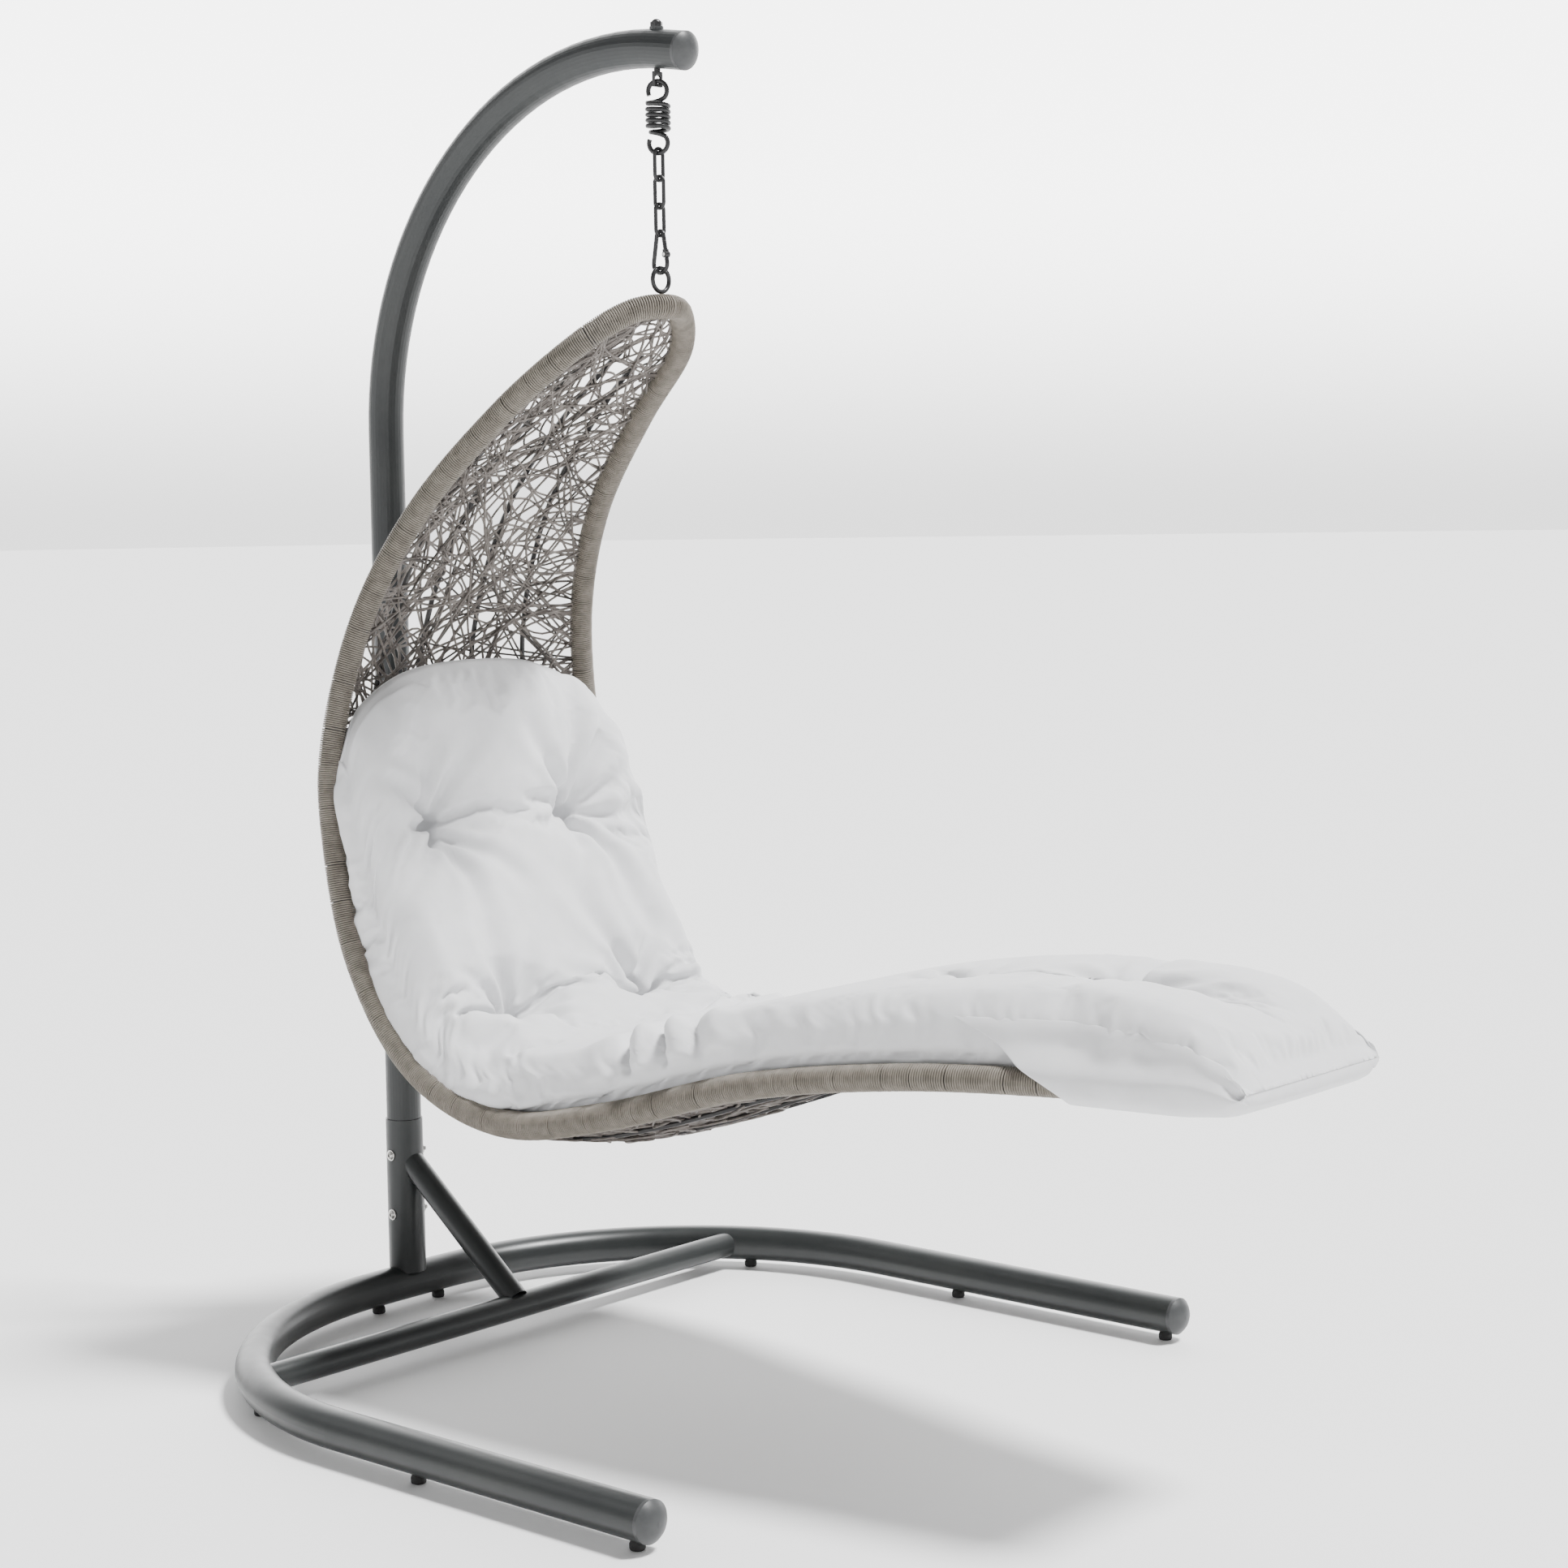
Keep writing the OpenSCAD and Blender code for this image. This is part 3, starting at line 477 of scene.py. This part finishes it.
def half_profile(w, top, low, over):
    """Knots of half the section, from the middle of the underside round the side to the middle of the top."""
    one = np.ones_like(w)
    under = [(w * 0.12, -low * 0.94), (w * 0.45, -low * 0.80), (w - 66, -low * 0.36), (w - 28, -1 * one)]
    side = [(w - 24, 12 * one), (w - 8, 23 * one), (w + over * 0.8, 22 * one),
            (w + over, np.maximum(34, top * 0.45)), (w + over * 0.5 - 3, top * 0.74), (w - 26, top * 0.93)]
    over_it = [(w * 0.70, top), (w * 0.40, top * 1.02), (w * 0.12, top * 1.02)]
    pts = under + side + over_it
    return np.stack([np.stack(p, -1) for p in pts], -2)


def section(w, top, low, over):
    """The closed section: half a profile and its mirror image."""
    h = half_profile(w, top, low, over)
    other = h[..., ::-1, :] * np.array([-1, 1])
    return np.concatenate([h, other], -2)


knots = 26
typical = section(np.array([300.]), np.array([88.]), np.array([45.]), np.array([6.]))[0]
dense = np.linspace(0, knots, 2601)


def spline(values, at):
    """The closed curve through the section's knots, at fractional knot numbers."""
    i = np.floor(at).astype(int)
    f = at - i
    out = 0
    wts = (-0.5 * f + f ** 2 - 0.5 * f ** 3, 1 - 2.5 * f ** 2 + 1.5 * f ** 3,
           0.5 * f + 2 * f ** 2 - 1.5 * f ** 3, -0.5 * f ** 2 + 0.5 * f ** 3)
    for k, wt in enumerate(wts):
        n = (i + k - 1) % knots
        out = out + wt[..., None] * (np.take_along_axis(values, n[..., None], -2) if values.ndim > 2 else values[n])
    return out


loop = spline(typical, dense)
loop_len = np.concatenate([[0], np.cumsum(np.linalg.norm(np.diff(loop, axis=0), axis=1))])
col_at = np.interp(np.arange(cols) / cols * loop_len[-1], loop_len, dense)
col_share = spline(typical, col_at)[:, 0] / 300


def head_line(share):
    """Where the cushion's rounded head end starts, by place across."""
    q = np.clip(np.abs(share), 0, 1)
    return S_HEAD + 150 * (1 - (1 - q ** 2.6) ** (1 / 2.6))


row = np.linspace(0, 1, rings)
row = row - 0.035 * np.sin(2 * math.pi * row)      # closer rings at both ends
s_grid = head_line(col_share)[None] + (S_FOOT - head_line(col_share))[None] * row[:, None]
look = lambda table, s: np.interp(s, grid_s, table)
head_in = np.clip((s_grid - head_line(col_share)[None]) / 75, 0, 1)
full = np.sqrt(np.clip(1 - (1 - head_in) ** 2, 0, 1))
foot_in = np.clip((S_FOOT - s_grid) / 30, 0, 1)
sec = section(look(grid_w, s_grid), look(grid_top, s_grid), look(grid_low, s_grid), look(grid_over, s_grid))
flat = spline(sec, np.broadcast_to(col_at[None, :, None], sec.shape[:2] + (1,)))[..., 0, :]
cy, ch = flat[..., 0], flat[..., 1]
seam_h = 14 * np.ones_like(ch)
ch = seam_h + (ch - seam_h) * full
cy = cy * (1 - 0.03 * (1 - full))
ch = 13 + (ch - 13) * np.sqrt(np.clip(1 - (1 - foot_in) ** 2, 0.0, 1))


def on_path(s, y, h):
    """A point s along the path, y across and h above it."""
    x, z = look(grid_x, s), look(grid_z, s)
    nx, nz = look(normal[:, 0], s), look(normal[:, 2], s)
    return np.stack([x + nx * h, y, z + nz * h], -1)


cushion = on_path(s_grid, cy, ch)

# Tufts: place along the path, across, how deep the thread pulls the top in, and how far around that reaches
TUFTS = [(s_of(7.02), -155, 90, 110), (s_of(7.02), 140, 90, 110),
         (s_of(9.0), -150, 74, 105), (s_of(9.0), 140, 74, 105),
         (s_of(12.72), 0, 46, 85), (s_of(13.78), 0, 46, 85)]
is_top = np.tile(spline(typical, col_at)[:, 1] > 45, (rings, 1))
for ts, ty, deep, reach in TUFTS:
    d = np.hypot(s_grid - ts, cy - ty)
    ch_pull = deep * np.exp(-d / (reach * 0.40)) * is_top
    cushion -= ch_pull[..., None] * np.stack([look(normal[:, 0], s_grid), 0 * d, look(normal[:, 2], s_grid)], -1)


def grid_faces(r, c):
    """Faces of r rings of c points, each ring closed."""
    i, j = np.meshgrid(np.arange(r - 1), np.arange(c), indexing="ij")
    k = (j + 1) % c
    return np.stack([i * c + j, i * c + k, (i + 1) * c + k, (i + 1) * c + j], -1).reshape(-1, 4).tolist()


CLOTH_FRAMES, MOST_SWELL = 16, 20     # simulated frames, and the most a point may move in mm


def swell(points):
    """Cloth under pressure: the underside and the buttons are held, the rest fills out and creases."""
    r, c, _ = points.shape
    o = make("swelling", place(points).reshape(-1, 3), grid_faces(r, c), M_CLOTH, None)
    bm = bmesh.new()
    bm.from_mesh(o.data)
    for end in (0, r - 1):
        bm.verts.ensure_lookup_table()
        bm.faces.new([bm.verts[end * c + j] for j in range(c)])
    bm.to_mesh(o.data)
    bm.free()
    held = o.vertex_groups.new(name="held")
    low_cols = spline(typical, col_at)[:, 1] < 20
    fixed = np.zeros((r, c), bool)
    fixed[:, low_cols] = True
    fixed[:2] = fixed[-3:] = True
    for ts, ty, deep, reach in TUFTS:
        d = np.hypot(s_grid - ts, cy - ty) + 1e3 * ~is_top
        fixed |= d < 9
        fixed.flat[np.argmin(d)] = True
    held.add(np.nonzero(fixed.ravel())[0].tolist(), 1.0, "REPLACE")
    cloth = o.modifiers.new("cloth", "CLOTH")
    st = cloth.settings
    st.quality = 5
    st.mass = 0.3
    st.tension_stiffness = st.compression_stiffness = 12
    st.shear_stiffness = 4
    st.bending_stiffness = 0.12
    st.use_pressure = True
    st.uniform_pressure_force = 4
    st.shrink_min = st.shrink_max = -0.055
    st.vertex_group_mass = "held"
    st.effector_weights.gravity = 0
    cloth.collision_settings.use_collision = False
    scene = bpy.context.scene
    cloth.point_cache.frame_start, cloth.point_cache.frame_end = 1, CLOTH_FRAMES
    for f in range(1, CLOTH_FRAMES + 1):
        scene.frame_set(f)
    got = o.evaluated_get(bpy.context.evaluated_depsgraph_get()).data
    co = np.empty(len(got.vertices) * 3)
    got.vertices.foreach_get("co", co)
    scene.frame_set(1)
    bpy.data.objects.remove(o)
    moved = co.reshape(r, c, 3) / MM - np.array([HANG / MM, 0, 0]) - points
    far = np.linalg.norm(moved, axis=-1, keepdims=True)
    return points + moved * np.minimum(1, MOST_SWELL / np.maximum(far, 1e-6))


cushion = swell(cushion)


def finer(values, closed):
    """Twice as many points along axis 0, by cubic interpolation."""
    n = len(values)
    first, last = values[:1] * 2 - values[1:2], values[-1:] * 2 - values[-2:-1]
    if closed:
        first, last = values[-1:], values[:2]
    ext = np.concatenate([first, values, last])
    mid = (-ext[:-3] + 9 * ext[1:-2] + 9 * ext[2:-1] - ext[3:]) / 16
    out = np.empty((2 * n if closed else 2 * n - 1,) + values.shape[1:])
    out[0::2] = values
    out[1::2] = mid
    return out


def finer2(v):
    """Twice as many points both along the cushion and round its section."""
    v = finer(v, False)
    return np.swapaxes(finer(np.swapaxes(v, 0, 1), True), 0, 1)


fine = finer2(cushion)
fs, fy, ftop = finer2(s_grid), finer2(cy), finer2(is_top.astype(float))
gi, gj = np.gradient(fine, axis=0), (np.roll(fine, -1, 1) - np.roll(fine, 1, 1)) / 2
fnormal = unit(np.cross(gj, gi))
if np.mean(np.sum(fnormal * (fine - fine.mean(1, keepdims=True)), -1)) < 0:
    fnormal = -fnormal

# Folds that run out from the buttons: (button, angle in degrees from the head direction, length, depth)
FOLD_DEPTH = 2.8
FOLDS = [(0, -8, 190, 5), (0, 28, 150, 4), (0, 75, 110, 4), (0, 140, 160, 4),
         (0, 178, 260, 5), (0, -50, 120, 4), (0, -95, 110, 4), (0, -140, 150, 4),
         (1, 4, 200, 6), (1, -30, 190, 6), (1, 32, 170, 6), (1, -75, 120, 3),
         (1, 100, 150, 4), (1, 165, 300, 6), (1, -160, 190, 3), (1, 70, 150, 4),
         (2, 0, 150, 5), (2, 30, 120, 4), (2, -40, 110, 4), (2, 90, 120, 4),
         (2, -90, 100, 5), (2, 150, 110, 3), (2, -150, 90, 3),
         (3, -20, 240, 6), (3, 20, 140, 7), (3, 75, 130, 5), (3, 95, 140, 4),
         (3, -75, 150, 5), (3, -110, 100, 3), (3, 160, 120, 3),
         (4, 90, 120, 4), (4, -90, 110, 4), (4, 40, 110, 3), (4, -130, 100, 3), (4, 175, 90, 3),
         (5, 90, 130, 5), (5, -90, 120, 4), (5, 20, 110, 3), (5, -30, 120, 3), (5, 150, 110, 4), (5, -155, 110, 4)]
push = np.zeros(fs.shape)
for k, angle, length, deep in FOLDS:
    ts, ty = TUFTS[k][:2]
    a, length = math.radians(angle), 1.35 * length
    ds, dy = -math.cos(a), math.sin(a)
    along = (fs - ts) * ds + (fy - ty) * dy
    off = -(fs - ts) * dy + (fy - ty) * ds + 7 * np.sin(along / 45 + k + angle)
    fade = np.clip(along / 12, 0, 1) * np.clip(1 - along / length, 0, 1) ** 0.7 * (ftop > 0.4)
    width = 6 + 0.075 * np.clip(along, 0, None)
    banks = sum(np.exp(-((off - lean * width) / (width * 1.1)) ** 2) for lean in (2.0, -2.0))
    push += FOLD_DEPTH * fade * deep * (-np.exp(-(off / width) ** 2) + 0.55 * banks)
# The buttons' threads end in a sharp pit
for ts, ty, deep, reach in TUFTS:
    d = np.hypot(fs - ts, fy - ty)
    push -= (ftop > 0.4) * (15 * np.exp(-(d / 11) ** 1.3) + 7 * np.exp(-d / 40))
# Bunched fabric where the seat turns into the leg rest, slanting across the cushion
across = fs - s_of(10.55) + 0.60 * fy + 16 * np.sin(fy / 70)
amount = (0.40 + 0.60 * np.clip(np.abs(fy) / 290, 0, 1) ** 1.5) * np.clip(ftop, 0, 1)
BUNCHES = ((-64, 12, 30), (-22, -18, 8), (14, 22, 22), (52, -14, 7), (84, 19, 22), (124, -10, 8), (152, 11, 24))
for at, height, width in BUNCHES:
    push += height * amount * np.exp(-((across - at + 7 * np.sin(fy / 31 + at)) / width) ** 2)
# Gathers where the side is sewn to the top
col_h = finer(spline(typical, col_at)[:, 1], True)
col_y = finer(spline(typical, col_at)[:, 0], True)
edge = np.exp(-((col_h - 55) / 26.0) ** 2) * (np.abs(col_y) > 230)
s_mid = fs.mean(1)


def gathers():
    """Small bumps and dents at random places along one side."""
    bumps = np.zeros(len(s_mid))
    for _ in range(90):
        at, size = rng.uniform(s_mid[0], s_mid[-1]), rng.uniform(5, 12)
        bumps += rng.uniform(-4.2, 3.4) * np.exp(-((s_mid - at) / size) ** 2)
    return bumps[:, None]


left_side, right_side = gathers(), gathers()
push += edge[None] * np.where(col_y > 0, left_side, right_side)
fine = fine + fnormal * push[..., None]

r, c, _ = fine.shape
half = c // 2
seat = make("seat_cushion_cover", place(fine).reshape(-1, 3), grid_faces(r, c), M_CLOTH, None)
bm = bmesh.new()
bm.from_mesh(seat.data)
bm.verts.ensure_lookup_table()
for end in (0, r - 1):
    ring = [bm.verts[end * c + j] for j in range(c)]
    for j in range(half - 1):
        a, b, d, e = ring[j], ring[j + 1], ring[c - 2 - j], ring[c - 1 - j]
        if len({a, b, d, e}) == 4:
            bm.faces.new((a, b, d, e))
weld(bm, seat)
seat.data.polygons.foreach_set("use_smooth", [True] * len(seat.data.polygons))
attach(seat, "chair")
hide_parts("seat_cushion")

# Foot pocket: a fabric hood round the rim's foot end, sewn to the cushion's sides
# Its rows: forward of the hanging axis, half width, height underneath, height of the upper edge
HOOD = np.array([(690, 270, 562, 672), (790, 244, 566, 674), (886, 229, 568, 676), (985, 213, 567, 672),
                 (1060, 201, 567, 660), (1115, 188, 571, 638), (1135, 180, 578, 618), (1145, 170, 590, 606)], float)
HI, WI, NOSE_X = 60, 81, 1145
ang = np.linspace(-1, 1, WI)
part = np.abs(ang)
mouth = np.interp(part, [0, 0.44, 0.54, 0.66, 1], [905, 905, 898, 838, 720])
hx = mouth[None] + (NOSE_X - mouth[None]) * np.linspace(0, 1, HI)[:, None]
hw, lo, hi = (np.interp(hx, HOOD[:, 0], HOOD[:, k]) for k in (1, 2, 3))
knot = [0, 0.36, 0.47, 0.54, 0.64, 0.86, 1]
ky = [0 * hw, hw - 44, hw - 17, hw - 4, hw - 1, hw - 12, hw - 34]
kz = [lo - 1, lo, lo + 3, lo + 14, np.minimum(lo + 42, 0.5 * lo + 0.5 * hi), hi - 20, hi]
yy, zz = np.zeros_like(hx), np.zeros_like(hx)
for k in range(6):
    inside = (part >= knot[k]) & (part <= knot[k + 1])
    f = ((part - knot[k]) / (knot[k + 1] - knot[k]))[None]
    yy = np.where(inside[None], ky[k] * (1 - f) + ky[k + 1] * f, yy)
    zz = np.where(inside[None], kz[k] * (1 - f) + kz[k + 1] * f, zz)
# Above the rim the fabric lies on the cushion's own side; its upper edge is tucked into the seam
for side in (-1, 1):
    skin = fine.reshape(-1, 3)
    skin = skin[(skin[:, 0] > 690) & (side * skin[:, 1] > 120)]
    for a in np.nonzero((np.sign(ang) == side) & (part > 0.52))[0]:
        near = np.hypot(hx[:, a, None] - skin[None, :, 0], zz[:, a, None] - skin[None, :, 2])
        out = np.where(near < 7, side * skin[None, :, 1], -1).max(1)
        lift = np.interp(part[a], [0.52, 0.93, 1], [1.6, 1.6, -3])
        ease = np.interp(zz[:, a], [614, 640], [0, 1])
        flush = np.where(out > 0, out + lift, yy[:, a])
        yy[:, a] = np.maximum(flush, yy[:, a] * (1 - ease) + flush * ease)
for _ in range(3):
    yy[:, 1:-1] = 0.5 * yy[:, 1:-1] + 0.25 * (yy[:, :-2] + yy[:, 2:])
    yy[1:-1] = 0.5 * yy[1:-1] + 0.25 * (yy[:-2] + yy[2:])
sway = 1.3 * np.sin(hx / 17 + 9 * part[None]) + 1.0 * np.sin(hx / 41 - 5 * part[None])     # slack in the fabric
yy += sway * np.clip(part * 6 - 2.5, 0, 1) * np.clip((0.66 - part) * 9, 0, 1) * np.clip((1140 - hx) / 40, 0, 1)
hood = np.stack([hx, np.sign(ang) * yy, zz], -1)
nose = hood[-1].copy()
nose[:, 2] = nose[:, 2].max()
nose[:, 0] += 0.5
pts = np.concatenate([hood.reshape(-1, 3), nose])
pf = [[i * WI + j, (i + 1) * WI + j, (i + 1) * WI + j + 1, i * WI + j + 1] for i in range(HI) for j in range(WI - 1)]
pocket = make("foot_pocket_cover", place(pts), pf, M_CLOTH, None)
bm = bmesh.new()
bm.from_mesh(pocket.data)
weld(bm, pocket)
solid = pocket.modifiers.new("cloth_thickness", "SOLIDIFY")
solid.thickness = 0.0015
solid.offset = 0
sub = pocket.modifiers.new("smooth", "SUBSURF")
sub.levels = sub.render_levels = 1
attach(pocket, "chair")
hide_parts("foot_pocket")

# Floor and light -------------------------------------------------------------------------
bpy.ops.mesh.primitive_plane_add(size=600, location=(0, 0, -0.0005))
floor = bpy.context.object
floor.name = "floor"
m, nodes, links, shader = material("pale_floor")
shader.inputs["Base Color"].default_value = (0.93, 0.93, 0.93, 1)
shader.inputs["Roughness"].default_value = 0.9
floor.data.materials.append(m)

world = bpy.data.worlds.new("studio")
bpy.context.scene.world = world
world.use_nodes = True
nodes, links = world.node_tree.nodes, world.node_tree.links
nodes["Background"].inputs["Color"].default_value = (1, 1, 1, 1)


def sky_band(direction, low, high, start, end):
    """A value that rises smoothly where the sky lies towards the direction."""
    dot = nodes.new("ShaderNodeVectorMath")
    dot.operation = "DOT_PRODUCT"
    dot.inputs[1].default_value = direction
    links.new(nodes.new("ShaderNodeTexCoord").outputs["Generated"], dot.inputs[0])
    rise = nodes.new("ShaderNodeMapRange")
    rise.interpolation_type = "SMOOTHSTEP"
    for key, v in (("From Min", start), ("From Max", end), ("To Min", low), ("To Max", high)):
        rise.inputs[key].default_value = v
    links.new(dot.outputs["Value"], rise.inputs["Value"])
    return rise.outputs[0]


# A bright wall of light at the back of the studio and a dimmer room around it
BACK_WALL, UP = (-0.655, 0.756, 0.0), (0.0, 0.0, 1.0)
both = nodes.new("ShaderNodeMath")
both.operation = "MULTIPLY_ADD"
links.new(sky_band(BACK_WALL, 0, 2.6, 0.45, 0.93), both.inputs[0])
links.new(sky_band(UP, 0.40, 1.9, 0.0, 0.12), both.inputs[1])
links.new(sky_band(UP, 1.15, 0.42, 0.02, 0.45), both.inputs[2])
links.new(both.outputs[0], nodes["Background"].inputs["Strength"])


def lamp(name, at, aim, size, power):
    d = bpy.data.lights.new(name, "AREA")
    d.size = size
    d.energy = power
    o = bpy.data.objects.new(name, d)
    o.location = at
    o.rotation_euler = (Vector(aim) - Vector(at)).to_track_quat("-Z", "Y").to_euler()
    bpy.context.collection.objects.link(o)


sun = bpy.data.lights.new("soft_sun", "SUN")
sun.energy = 6.6
sun.angle = math.radians(12)
o = bpy.data.objects.new("soft_sun", sun)
o.rotation_euler = Vector((-0.36, -0.26, -0.90)).to_track_quat("-Z", "Y").to_euler()
bpy.context.collection.objects.link(o)
lamp("side", (-2.6, -2.2, 2.4), (0, 0, 0.9), 1.6, 10)
